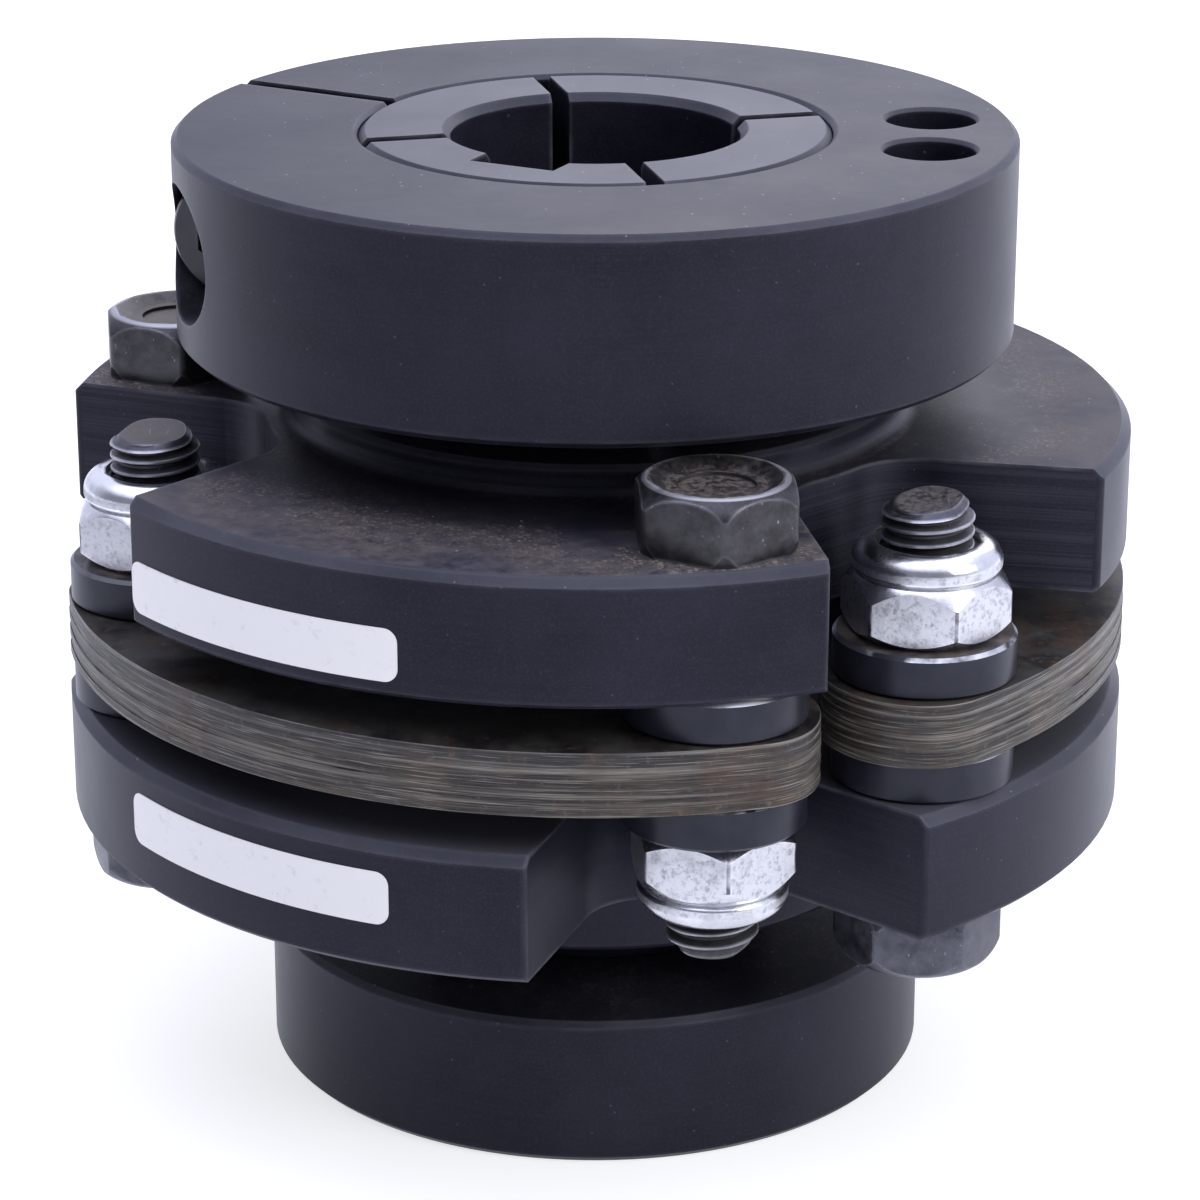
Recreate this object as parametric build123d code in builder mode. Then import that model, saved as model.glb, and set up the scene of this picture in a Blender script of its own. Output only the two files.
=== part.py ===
from build123d import *
import os
from math import cos, radians, sin, sqrt, tan

# Single-flex disc coupling, standing on the end face of its lower hub.
# The shaft axis is +Z, the origin is the centre of the lower bore at that end face, and
# -Y is the front. Millimetres throughout; polar angles are counted from +X towards +Y.

# ---------------------------------------------------------------- driving dimensions
# Three-armed flanges and the bolts that tie them to the disc links
flange_radius = 60.0
flange_thickness = 14.0
rim_top_chamfer = 1.1
rim_bottom_chamfer = 0.5
arm_count = 3
bolt_inset = 10.0  # from the rim in to the bolt circle
bolt_circle_radius = flange_radius - bolt_inset
upper_bolt_angle = -75.0
bolt_spread = 30.0  # from an upper-hub bolt round to the next lower-hub bolt
arm_corner_radius = 0.6

# Pockets between the arms, which clear the other hub's nuts
pocket_reach = 2 * flange_radius  # past the rim, so the cut leaves the blank
pocket_rim_half_angle = 21.0
pocket_wall_angle = 34.5
pocket_corner_radius = 8.0
upper_pocket_floor_inset = 12.8  # from the bolt circle in to the floor
lower_pocket_floor_inset = 11.6

# Upper hub
upper_hub_length = 45.5
upper_bore_radius = 16.0
upper_bore_chamfer = 0.9
upper_neck_radius = 26.1
upper_pocket_floor_radius = bolt_circle_radius - upper_pocket_floor_inset
upper_boss_ledge = 2.9  # from the pocket floors in to the boss
upper_boss_radius = upper_pocket_floor_radius - upper_boss_ledge
upper_boss_height = 3.4
upper_keyway_width = 10.0
upper_keyway_depth = 3.8

# Lower hub
lower_hub_length = 46.0
lower_bore_radius = 12.5
lower_bore_chamfer = 0.4
lower_neck_radius = 20.5
lower_pocket_floor_radius = bolt_circle_radius - lower_pocket_floor_inset
lower_boss_ledge = 4.1
lower_boss_radius = lower_pocket_floor_radius - lower_boss_ledge
lower_boss_height = 8.0
lower_keyway_width = 8.0
lower_keyway_depth = 3.3

# Features that both hubs share
boss_root_fillet = 2.0
boss_top_chamfer = 0.6
neck_chamfer = 0.7
collet_slot_count = 4
collet_slot_width = 2.0
collet_slot_root = 2.0  # solid neck left between the slots and the boss
keyway_offset = -41.0  # from the first collet slot round to the keyway

# Clamp rings
upper_ring_radius = 46.6
upper_ring_gap = 9.1  # from the flange's back, which clears the bolt heads
upper_ring_height = upper_hub_length - flange_thickness - upper_ring_gap
upper_slit_angle = 152.0
upper_screw_inset = 2.85  # from the middle of the ring's wall in to the screw axis
upper_screw_offset = (upper_neck_radius + upper_ring_radius) / 2 - upper_screw_inset
lower_ring_radius = 37.8
lower_ring_gap = 15.0
lower_ring_height = lower_hub_length - flange_thickness - lower_ring_gap
lower_slit_angle = 90.0
lower_screw_inset = 2.15
lower_screw_offset = (lower_neck_radius + lower_ring_radius) / 2 - lower_screw_inset
slit_width = 2.0
ring_fit = 0.1  # radial clearance of a ring on its neck
ring_outer_chamfer = 0.7
ring_inner_chamfer = 0.5
upper_balance_radius = 5.0
lower_balance_radius = 3.5
balance_hole_depth = 12.0
balance_countersink = 0.4
balance_offset = -156.0  # from the slit round to the middle of the pair of holes
balance_spread = 22.0

# Clamp screws: a socket cap screw across each slit
upper_screw_radius = 4.0
upper_screw_length = 30.0
lower_screw_radius = 3.0
lower_screw_length = 22.0
head_ratio = 1.625  # head radius over thread radius
socket_ratio = 0.75  # hex key across flats over thread diameter
screw_head_chamfer = 0.5
seat_cover = 4.6  # metal left between a ring's bore and its counterbore
counterbore_clearance = 1.0
screw_hole_clearance = 0.4

# Hex bolts, spacers and lock nuts
bolt_radius = 5.0
bolt_length = 45.0
bolt_tip_chamfer = 1.3
hex_across_flats = 16.0
head_height = 7.0
head_corner_round = 1.1
head_rim_radius = 7.3
head_crown_drop = 3.5
head_crown_bulge = 0.7
head_seat_width = 0.7
head_seat_drop = 1.9
head_dish_radius = 6.8
head_dish_depth = 0.9
head_dish_slope = 60.0
head_pit_radius = 4.1
head_pit_depth = 1.3  # from the rim, so 0.4 below the dish
bolt_hole_clearance = 0.25
thread_clearance = 0.05
spacer_radius = 9.8
spacer_thickness = 4.7
spacer_chamfer = 0.4
nut_hex_height = 6.7
nut_height = 10.0
nut_corner_round = 0.6
nut_crown_width = 1.5
nut_crown_drop = 2.0
nut_seat_width = 1.8
nut_seat_drop = 1.6
collar_radius = 8.0
collar_round = 2.1
collar_waist_radius = 7.3
collar_waist_height = 0.25
collar_underside_round = 0.6
collar_mouth_radius = 5.5
insert_radius = 6.7
insert_cover = 0.7
# Polar angle at which one corner of each hex was left, upper-hub bolts first
head_turns = (95.0, 104.0, 98.5, 117.5, 88.0, 109.0)
nut_turns = (99.5, 97.0, 105.0, 107.0, 90.0, 87.5)

# Disc links: one thick cover lamina over a stack of thin ones
link_inset = 0.05  # how far the links stand back from the flange rim
link_radius = flange_radius - link_inset
link_end_radius = 11.1
link_corner_radius = 8.0  # where an end meets the rim
thin_lamina_count = 5
thin_lamina_thickness = 1.0
cover_lamina_thickness = 2.0
lamina_step = 0.12  # how far alternate laminae stand back from the edge

# ---------------------------------------------------------------- levels and angles
pack_thickness = thin_lamina_count * thin_lamina_thickness + cover_lamina_thickness
lower_face_z = lower_hub_length
pack_bottom_z = lower_face_z + spacer_thickness
pack_top_z = pack_bottom_z + pack_thickness
upper_face_z = pack_top_z + spacer_thickness
arm_pitch = 360.0 / arm_count
lower_bolt_angle = upper_bolt_angle + bolt_spread
link_span = arm_pitch - bolt_spread
thread_radius = bolt_radius - thread_clearance
bolt_hole_radius = bolt_radius + bolt_hole_clearance

os.makedirs("parts", exist_ok=True)


def finish(builder, name):
    """Label a finished piece and write it to its own STEP file."""
    builder.part.label = name
    export_step(builder.part, f"parts/{name}.step")


def polar(radius, angle):
    return (radius * cos(radians(angle)), radius * sin(radians(angle)))


def bolt_points(first_angle):
    return [polar(bolt_circle_radius, first_angle + arm_pitch * i) for i in range(arm_count)]


# ---------------------------------------------------------------- hubs
def pocket_outline(floor_radius):
    """The notch between two arms, opening along +X: straight walls, a round floor."""
    wall_rim_x, wall_rim_y = polar(flange_radius, pocket_rim_half_angle)
    apex_x = wall_rim_x - wall_rim_y / tan(radians(pocket_wall_angle))
    mouth_y = (pocket_reach - apex_x) * tan(radians(pocket_wall_angle))
    with BuildSketch() as pocket:
        with BuildLine():
            Polyline((apex_x, 0), (pocket_reach, mouth_y), (pocket_reach, -mouth_y), close=True)
        make_face()
        Circle(floor_radius, mode=Mode.SUBTRACT)
        fillet(pocket.vertices().sort_by(Axis.X)[:2], pocket_corner_radius)
    return pocket.sketch


def make_hub(name, face_z, way, length, bore_radius, bore_chamfer, neck_radius, boss_radius,
             boss_height, floor_radius, bolt_angle, pocket_angle, keyway_width, keyway_depth):
    """A turned flange, boss and collet neck; way is +1 where the neck points up."""

    def z_at(height):
        return face_z + way * height

    end_z = z_at(length)
    flange_back_z = z_at(flange_thickness)
    boss_top_z = z_at(flange_thickness + boss_height)
    face_chamfer = rim_bottom_chamfer if way > 0 else rim_top_chamfer
    back_chamfer = rim_top_chamfer if way > 0 else rim_bottom_chamfer
    slot_depth = length - flange_thickness - boss_height - collet_slot_root

    # The section stands in a pocket, so the seam of the turned rim is cut away with it.
    section_plane = Plane(origin=(0, 0, 0), x_dir=(*polar(1, pocket_angle), 0),
                          z_dir=(*polar(1, pocket_angle - 90), 0))

    with BuildPart() as hub:
        with BuildSketch(section_plane) as section:
            with BuildLine():
                Polyline(
                    (bore_radius, face_z), (flange_radius, face_z),
                    (flange_radius, flange_back_z), (boss_radius, flange_back_z),
                    (boss_radius, boss_top_z), (neck_radius, boss_top_z),
                    (neck_radius, end_z), (bore_radius, end_z), close=True)
            make_face()

            def corner(radius, z):
                return section.vertices().sort_by_distance(Vector(radius, z, 0))[0]

            fillet(corner(boss_radius, flange_back_z), boss_root_fillet)
            chamfer(corner(flange_radius, face_z), face_chamfer)
            chamfer(corner(flange_radius, flange_back_z), back_chamfer)
            chamfer(corner(boss_radius, boss_top_z), boss_top_chamfer)
            chamfer(corner(neck_radius, end_z), neck_chamfer)
            chamfer(corner(bore_radius, end_z), bore_chamfer)
        revolve(axis=Axis.Z)

        # pockets between the arms, then the bolt holes through the arms
        with BuildSketch(Plane.XY.offset(face_z)):
            with PolarLocations(0, arm_count, start_angle=pocket_angle):
                add(pocket_outline(floor_radius))
        extrude(amount=way * flange_thickness, mode=Mode.SUBTRACT)
        rim_corners = hub.edges(Select.LAST).filter_by(Axis.Z).sort_by(SortBy.DISTANCE)
        fillet(rim_corners[-2 * arm_count:], arm_corner_radius)
        with BuildSketch(Plane.XY.offset(face_z)):
            with Locations(*bolt_points(bolt_angle)):
                Circle(bolt_hole_radius)
        extrude(amount=way * flange_thickness, mode=Mode.SUBTRACT)

        # slots that let the neck close on the shaft, and the keyway
        with BuildSketch(Plane.XY.offset(end_z)):
            with PolarLocations(0, collet_slot_count, start_angle=bolt_angle):
                Rectangle(2 * neck_radius, collet_slot_width, align=(Align.MIN, Align.CENTER))
        extrude(amount=-way * slot_depth, mode=Mode.SUBTRACT)
        with BuildSketch(Plane.XY.offset(face_z)):
            with PolarLocations(0, 1, start_angle=bolt_angle + keyway_offset):
                Rectangle(bore_radius + keyway_depth, keyway_width,
                          align=(Align.MIN, Align.CENTER))
        extrude(amount=way * length, mode=Mode.SUBTRACT)
    finish(hub, name)


make_hub("upper_hub", upper_face_z, 1, upper_hub_length, upper_bore_radius,
         upper_bore_chamfer, upper_neck_radius, upper_boss_radius, upper_boss_height,
         upper_pocket_floor_radius, upper_bolt_angle, lower_bolt_angle, upper_keyway_width,
         upper_keyway_depth)
make_hub("lower_hub", lower_face_z, -1, lower_hub_length, lower_bore_radius,
         lower_bore_chamfer, lower_neck_radius, lower_boss_radius, lower_boss_height,
         lower_pocket_floor_radius, lower_bolt_angle, upper_bolt_angle, lower_keyway_width,
         lower_keyway_depth)


# ---------------------------------------------------------------- clamp rings and screws
def make_clamp(side, end_z, way, ring_radius, ring_height, neck_radius, slit_angle,
               screw_offset, screw_radius, screw_length, balance_radius):
    """A slit ring flush with the hub's end face, and the cap screw that closes its slit."""
    inner_radius = neck_radius + ring_fit
    head_radius = head_ratio * screw_radius
    head_length = 2 * screw_radius
    counterbore_radius = head_radius + counterbore_clearance
    nearest = screw_offset - counterbore_radius
    seat = sqrt((inner_radius + seat_cover) ** 2 - nearest ** 2)
    tip = seat - screw_length
    screw_x, screw_y = polar(screw_offset, slit_angle)
    tangent = Vector(*polar(1.0, slit_angle + 90.0))
    middle = Vector(screw_x, screw_y, end_z - way * ring_height / 2)

    def screw_plane(distance):
        return Plane(origin=middle + tangent * distance, x_dir=(0, 0, 1), z_dir=tangent)

    with BuildPart() as ring:
        with BuildSketch(Plane.XY.offset(end_z)):
            Circle(ring_radius)
            Circle(inner_radius, mode=Mode.SUBTRACT)
        extrude(amount=-way * ring_height)
        rims = ring.edges().filter_by(GeomType.CIRCLE)
        chamfer(rims.filter_by(lambda edge: edge.radius > inner_radius + 1), ring_outer_chamfer)
        mouths = ring.edges().filter_by(GeomType.CIRCLE)
        chamfer(mouths.filter_by(lambda edge: edge.radius < inner_radius + 1),
                ring_inner_chamfer)
        with BuildSketch(Plane.XY.offset(end_z)):
            with PolarLocations(0, 1, start_angle=slit_angle):
                Rectangle(2 * ring_radius, slit_width, align=(Align.MIN, Align.CENTER))
        extrude(amount=-way * ring_height, mode=Mode.SUBTRACT)

        # counterbore, clearance hole and, past the slit, the tapped hole
        with BuildSketch(screw_plane(seat)):
            Circle(counterbore_radius)
        extrude(amount=ring_radius, mode=Mode.SUBTRACT)
        with BuildSketch(screw_plane(0)):
            Circle(screw_radius + screw_hole_clearance)
        extrude(amount=seat, mode=Mode.SUBTRACT)
        with BuildSketch(screw_plane(tip - screw_radius)):
            Circle(screw_radius)
        extrude(amount=screw_radius - tip, mode=Mode.SUBTRACT)

        # blind holes that balance the mass taken out for the screw
        for step in (-0.5, 0.5):
            hole_angle = slit_angle + balance_offset + step * balance_spread
            with BuildSketch(Plane.XY.offset(end_z)):
                with Locations(polar(screw_offset + screw_radius, hole_angle)):
                    Circle(balance_radius)
            extrude(amount=-way * balance_hole_depth, mode=Mode.SUBTRACT)
        hole_rims = ring.edges().filter_by(GeomType.CIRCLE).filter_by(Plane.XY).filter_by(
            lambda edge: abs(edge.radius - balance_radius) < 0.001
            and abs(edge.center().Z - end_z) < 0.001)
        chamfer(hole_rims, balance_countersink)
    finish(ring, f"{side}_clamp_ring")

    with BuildPart() as screw:
        with BuildSketch(screw_plane(seat)):
            Circle(head_radius)
        extrude(amount=head_length)
        chamfer(screw.edges().filter_by(GeomType.CIRCLE).sort_by_distance(
            middle + tangent * (seat + head_length))[0], screw_head_chamfer)
        with BuildSketch(screw_plane(seat + head_length)):
            RegularPolygon(socket_ratio * screw_radius, 6, major_radius=False)
        extrude(amount=-screw_radius, mode=Mode.SUBTRACT)
        with BuildSketch(screw_plane(tip)):
            Circle(screw_radius - thread_clearance)
        extrude(amount=screw_length)
    finish(screw, f"{side}_clamp_screw")


upper_end_z = upper_face_z + upper_hub_length
make_clamp("upper", upper_end_z, 1, upper_ring_radius, upper_ring_height, upper_neck_radius,
           upper_slit_angle, upper_screw_offset, upper_screw_radius, upper_screw_length,
           upper_balance_radius)
make_clamp("lower", 0.0, -1, lower_ring_radius, lower_ring_height, lower_neck_radius,
           lower_slit_angle, lower_screw_offset, lower_screw_radius, lower_screw_length,
           lower_balance_radius)


# ---------------------------------------------------------------- disc links
def make_lamina(name, first_angle, bottom_z, thickness, stand_back):
    """One lamina of a link, from a lower-hub bolt round to the next upper-hub bolt."""
    with BuildPart() as lamina:
        with BuildSketch(Plane.XY.offset(bottom_z)) as outline:
            with BuildLine(mode=Mode.PRIVATE):
                spine = CenterArc((0, 0), bolt_circle_radius, first_angle, link_span)
            SlotArc(spine, 2 * (link_end_radius - stand_back))
            Circle(link_radius - stand_back, mode=Mode.INTERSECT)
            fillet(outline.vertices().sort_by_distance((0, 0, bottom_z))[-2:],
                   link_corner_radius)
            with PolarLocations(bolt_circle_radius, 2, start_angle=first_angle,
                                angular_range=link_span, endpoint=True):
                Circle(bolt_hole_radius, mode=Mode.SUBTRACT)
        extrude(amount=thickness)
    finish(lamina, name)


for link in range(arm_count):
    link_angle = lower_bolt_angle + arm_pitch * link
    for layer in range(thin_lamina_count):
        make_lamina(f"link_{link + 1}_lamina_{layer + 1}", link_angle,
                    pack_bottom_z + layer * thin_lamina_thickness, thin_lamina_thickness,
                    lamina_step * (layer % 2))
    make_lamina(f"link_{link + 1}_cover_lamina", link_angle,
                pack_top_z - cover_lamina_thickness, cover_lamina_thickness, lamina_step / 2)


# ---------------------------------------------------------------- spacers, bolts and nuts
def make_spacer(name, point, bottom_z):
    with BuildPart() as spacer:
        with BuildSketch(Plane.XY.offset(bottom_z)):
            with Locations(point):
                Circle(spacer_radius)
                Circle(bolt_hole_radius, mode=Mode.SUBTRACT)
        extrude(amount=spacer_thickness)
        outer = spacer.edges().filter_by(GeomType.CIRCLE).filter_by(
            lambda edge: edge.radius > bolt_hole_radius + 1)
        chamfer(outer, spacer_chamfer)
    finish(spacer, name)


def make_bolt(name, point, seat_z, way, turn):
    """A hex bolt whose head sits on the flange back; way is +1 where the head is on top."""
    top_z = seat_z + way * head_height
    corner_radius = hex_across_flats / sqrt(3)
    crown_foot = (corner_radius, way * (head_height - head_crown_drop))
    crown_middle = ((corner_radius + head_rim_radius) / 2 + head_crown_bulge,
                    way * (head_height - head_crown_drop / 2))
    with BuildPart() as bolt:
        with BuildSketch(Plane.XY.offset(seat_z)) as hexagon:
            with Locations(point):
                RegularPolygon(hex_across_flats / 2, 6, major_radius=False, rotation=turn)
            fillet(hexagon.vertices(), head_corner_round)
        extrude(amount=way * head_height)
        with BuildSketch(Plane(origin=(*point, seat_z), x_dir=(1, 0, 0), z_dir=(0, -1, 0))):
            with BuildLine():
                Polyline((head_rim_radius, way * head_height), (0, way * head_height), (0, 0),
                         (corner_radius - head_seat_width, 0),
                         (corner_radius, way * head_seat_drop), crown_foot)
                ThreePointArc(crown_foot, crown_middle, (head_rim_radius, way * head_height))
            make_face()
        revolve(axis=Axis(origin=(*point, 0), direction=(0, 0, 1)), mode=Mode.INTERSECT)
        with BuildSketch(Plane.XY.offset(top_z)):
            with Locations(point):
                Circle(head_dish_radius)
        extrude(amount=-way * head_dish_depth, taper=head_dish_slope, mode=Mode.SUBTRACT)
        with BuildSketch(Plane.XY.offset(top_z)):
            with Locations(point):
                Circle(head_pit_radius)
        extrude(amount=-way * head_pit_depth, mode=Mode.SUBTRACT)
        with BuildSketch(Plane.XY.offset(seat_z)):
            with Locations(point):
                Circle(thread_radius)
        extrude(amount=-way * bolt_length)
        tip = bolt.edges().filter_by(GeomType.CIRCLE).sort_by(Axis.Z)
        chamfer(tip[0] if way > 0 else tip[-1], bolt_tip_chamfer)
    finish(bolt, name)


def make_lock_nut(name, insert_name, point, seat_z, way, turn):
    """A prevailing-torque nut: hex, rolled collar and the soft ring held in the collar."""
    corner_radius = hex_across_flats / sqrt(3)
    axis = Axis(origin=(*point, 0), direction=(0, 0, 1))
    section_plane = Plane(origin=(*point, seat_z), x_dir=(1, 0, 0), z_dir=(0, -1, 0))
    insert_top = nut_height - insert_cover
    waist_foot = nut_hex_height - nut_crown_drop
    waist_top = nut_hex_height + collar_waist_height

    with BuildPart() as nut:
        with BuildSketch(Plane.XY.offset(seat_z)) as hexagon:
            with Locations(point):
                RegularPolygon(hex_across_flats / 2, 6, major_radius=False, rotation=turn)
            fillet(hexagon.vertices(), nut_corner_round)
        extrude(amount=way * nut_hex_height)
        with BuildSketch(section_plane):
            with BuildLine():
                Polyline((0, 0), (corner_radius - nut_seat_width, 0),
                         (corner_radius, way * nut_seat_drop),
                         (corner_radius, way * (nut_hex_height - nut_crown_drop)),
                         (corner_radius - nut_crown_width, way * nut_hex_height),
                         (0, way * nut_hex_height), close=True)
            make_face()
        revolve(axis=axis, mode=Mode.INTERSECT)
        with BuildSketch(section_plane) as collar:
            with BuildLine():
                Polyline((0, way * waist_foot), (collar_waist_radius, way * waist_foot),
                         (collar_waist_radius, way * waist_top),
                         (collar_radius, way * waist_top), (collar_radius, way * nut_height),
                         (0, way * nut_height), close=True)
            make_face()
            for height, rounding in ((nut_height, collar_round),
                                     (waist_top, collar_underside_round)):
                rim = collar.vertices().sort_by_distance(Vector(collar_radius, way * height, 0))
                fillet(rim[0], rounding)
        revolve(axis=axis)
        with BuildSketch(section_plane):
            with BuildLine():
                Polyline((0, 0), (bolt_radius, 0), (bolt_radius, way * nut_hex_height),
                         (insert_radius, way * nut_hex_height),
                         (insert_radius, way * insert_top),
                         (collar_mouth_radius, way * insert_top),
                         (collar_mouth_radius, way * nut_height), (0, way * nut_height),
                         close=True)
            make_face()
        revolve(axis=axis, mode=Mode.SUBTRACT)
    finish(nut, name)

    with BuildPart() as insert:
        with BuildSketch(Plane.XY.offset(seat_z + way * nut_hex_height)):
            with Locations(point):
                Circle(insert_radius - thread_clearance)
                Circle(bolt_radius, mode=Mode.SUBTRACT)
        extrude(amount=way * (insert_top - nut_hex_height))
    finish(insert, insert_name)


sides = (
    ("upper", bolt_points(upper_bolt_angle), 1, upper_face_z + flange_thickness, lower_face_z),
    ("lower", bolt_points(lower_bolt_angle), -1, lower_face_z - flange_thickness, upper_face_z),
)
for side_index, (side, points, way, head_seat_z, nut_seat_z) in enumerate(sides):
    for index, point in enumerate(points):
        turn = arm_count * side_index + index
        make_spacer(f"{side}_bolt_{index + 1}_spacer_below", point, lower_face_z)
        make_spacer(f"{side}_bolt_{index + 1}_spacer_above", point, pack_top_z)
        make_bolt(f"{side}_bolt_{index + 1}", point, head_seat_z, way, head_turns[turn])
        make_lock_nut(f"{side}_lock_nut_{index + 1}", f"{side}_nut_insert_{index + 1}", point,
                      nut_seat_z, -way, nut_turns[turn])
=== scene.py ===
from math import atan2, cos, pi, radians, sin

import bmesh
import bpy
from mathutils import Matrix, Vector


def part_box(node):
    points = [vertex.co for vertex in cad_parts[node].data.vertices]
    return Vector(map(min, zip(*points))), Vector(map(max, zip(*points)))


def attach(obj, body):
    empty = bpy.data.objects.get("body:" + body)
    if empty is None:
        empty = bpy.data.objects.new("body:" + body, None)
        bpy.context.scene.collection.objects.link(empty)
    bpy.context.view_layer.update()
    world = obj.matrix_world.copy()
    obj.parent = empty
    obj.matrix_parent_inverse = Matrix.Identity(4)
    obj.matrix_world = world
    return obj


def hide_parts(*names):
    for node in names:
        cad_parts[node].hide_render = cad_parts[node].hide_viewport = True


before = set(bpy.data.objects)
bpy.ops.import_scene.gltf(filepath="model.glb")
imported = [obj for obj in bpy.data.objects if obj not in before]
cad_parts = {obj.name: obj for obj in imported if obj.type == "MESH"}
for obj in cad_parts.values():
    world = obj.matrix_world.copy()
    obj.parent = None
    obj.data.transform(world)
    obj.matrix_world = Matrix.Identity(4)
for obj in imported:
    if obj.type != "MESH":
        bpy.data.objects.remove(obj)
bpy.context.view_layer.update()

# ---------------------------------------------------------------- hubs
# Two steel hubs, turned from bar, milled between their three arms and blackened in an oxide bath.
# The solids of the frame are shown as they are. Their finish carries the rings of the lathe on
# flat faces, fine level lines on every wall, paler worn edges and dust where nobody wipes.
oxide_colour = (0.0078, 0.0072, 0.0128, 1)
oxide_pale_colour = (0.0200, 0.0192, 0.0290, 1)
oxide_tint = (0.84, 0.88, 1.0, 1)
oxide_gloss = 0.19
oxide_roughness = 0.34
bare_edge_and_highlight_colour = (0.155, 0.155, 0.175, 1)
film_colour = (0.066, 0.063, 0.080, 1)
dust_colour = (0.145, 0.120, 0.100, 1)
crumb_colour = (0.27, 0.235, 0.195, 1)
speck_colour = (0.34, 0.34, 0.37, 1)
milled_colour = (0.042, 0.042, 0.054, 1)
oxide_edge_width = 0.00034
oxide_relief_depth = 0.00002
tool_mark_pull = 0.006
milled_from_radius, milled_to_radius = 0.036, 0.0592
# film and dust thin out inside these radii, a painted shadow of the clamp ring
ring_shadow_radius, ring_shadow_edge_radius = 0.044, 0.052
shelter_reach = 0.014
clean_foot, clean_top = 0.010, 0.020
hub_milled_amounts = {"lower_hub": 0.3, "upper_hub": 1.0}


def add(tree, kind, inputs=None, **settings):
    """A new shader node. Each input is a number, a colour or another node's output."""
    made = tree.nodes.new("ShaderNode" + kind)
    for name, value in settings.items():
        setattr(made, name, value)
    for socket, value in (inputs or {}).items():
        if isinstance(value, bpy.types.NodeSocket):
            tree.links.new(value, made.inputs[socket])
        else:
            made.inputs[socket].default_value = value
    return made


def compute(tree, operation, first, second=0.0):
    """One sum on two numbers or outputs."""
    return add(tree, "Math", {0: first, 1: second}, operation=operation).outputs[0]


def product(tree, first, *others):
    """Numbers or outputs multiplied together."""
    for other in others:
        first = compute(tree, "MULTIPLY", first, other)
    return first


def spread(tree, value, low, high, to_low=0.0, to_high=1.0):
    """Maps low..high to to_low..to_high and holds the ends."""
    inputs = {"Value": value, "From Min": low, "From Max": high, "To Min": to_low,
              "To Max": to_high}
    return add(tree, "MapRange", inputs, clamp=True).outputs[0]


def blend_colours(tree, factor, first, second):
    """The first colour, with a share of the second over it."""
    made = add(tree, "Mix", {"Factor": factor}, data_type="RGBA")
    for socket, value in ((made.inputs[6], first), (made.inputs[7], second)):
        if isinstance(value, bpy.types.NodeSocket):
            tree.links.new(value, socket)
        else:
            socket.default_value = value
    return made.outputs[2]


def speckle(tree, vector, scale, detail=3.0, roughness=0.5):
    """Soft uneven tone, about 0 to 1."""
    inputs = {"Vector": vector, "Scale": scale, "Detail": detail, "Roughness": roughness}
    return add(tree, "TexNoise", inputs).outputs["Fac"]


def crumbs(tree, place, scale, size, share):
    """Separate grains: round dots of uneven size, in only a share of the cells."""
    cells = add(tree, "TexVoronoi", {"Vector": place, "Scale": scale})
    chance = add(tree, "SeparateColor", {0: cells.outputs["Color"]})
    kept = compute(tree, "LESS_THAN", chance.outputs[0], share)
    reach = product(tree, chance.outputs[1], size)
    return product(tree, kept, compute(tree, "LESS_THAN", cells.outputs["Distance"], reach))


def new_finish(name, roughness, metallic, gloss=0.5):
    """A material, its node tree and its one shader."""
    finish = bpy.data.materials.new(name)
    finish.use_nodes = True
    shader = finish.node_tree.nodes["Principled BSDF"]
    shader.inputs["Roughness"].default_value = roughness
    shader.inputs["Metallic"].default_value = metallic
    shader.inputs["Specular IOR Level"].default_value = gloss
    return finish, finish.node_tree, shader


def object_place(tree):
    """The place on a piece, and its three numbers."""
    place = add(tree, "TexCoord").outputs["Object"]
    return place, add(tree, "SeparateXYZ", {0: place}).outputs


def axis_distance(tree, x, y):
    """How far a place is from the shaft's axis."""
    level = add(tree, "CombineXYZ", {0: x, 1: y}).outputs[0]
    return add(tree, "VectorMath", {0: level}, operation="LENGTH").outputs["Value"]


def facing_up(tree):
    """1 on faces that look straight up, 0 on walls, -1 on undersides."""
    normal = add(tree, "NewGeometry").outputs["Normal"]
    return add(tree, "SeparateXYZ", {0: normal}).outputs["Z"]


def upper_chamfer(tree, upward):
    """1 on the sloping band between a wall and the face above it."""
    return product(tree, spread(tree, upward, 0.45, 0.6), spread(tree, upward, 0.92, 0.8))


def thin_metal(tree, width, samples):
    """How thick the metal is behind a surface: low under an outer edge, within the width."""
    return add(tree, "AmbientOcclusion", {"Distance": width}, samples=samples, inside=True,
               only_local=True).outputs["AO"]


def worn_edges(tree, place, width, breaks, least=0.0):
    """1 along outer edges, broken up along their length."""
    metal = thin_metal(tree, width * 1.6, 2)
    broken = spread(tree, speckle(tree, place, breaks, 3.0), 0.35, 0.62, least, 1.0)
    return product(tree, spread(tree, metal, 0.90, 0.66), broken)


def rounded_normal(tree, width):
    """A normal that turns softly over an edge."""
    return add(tree, "Bevel", {"Radius": width}, samples=2).outputs[0]


def put_relief(tree, shader, height, strength, depth, normal=None):
    """Fine bumps on a finish, over the piece's own normal or over another."""
    inputs = {"Height": height, "Strength": strength, "Distance": depth}
    if normal is not None:
        inputs["Normal"] = normal
    tree.links.new(add(tree, "Bump", inputs).outputs[0], shader.inputs["Normal"])


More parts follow.
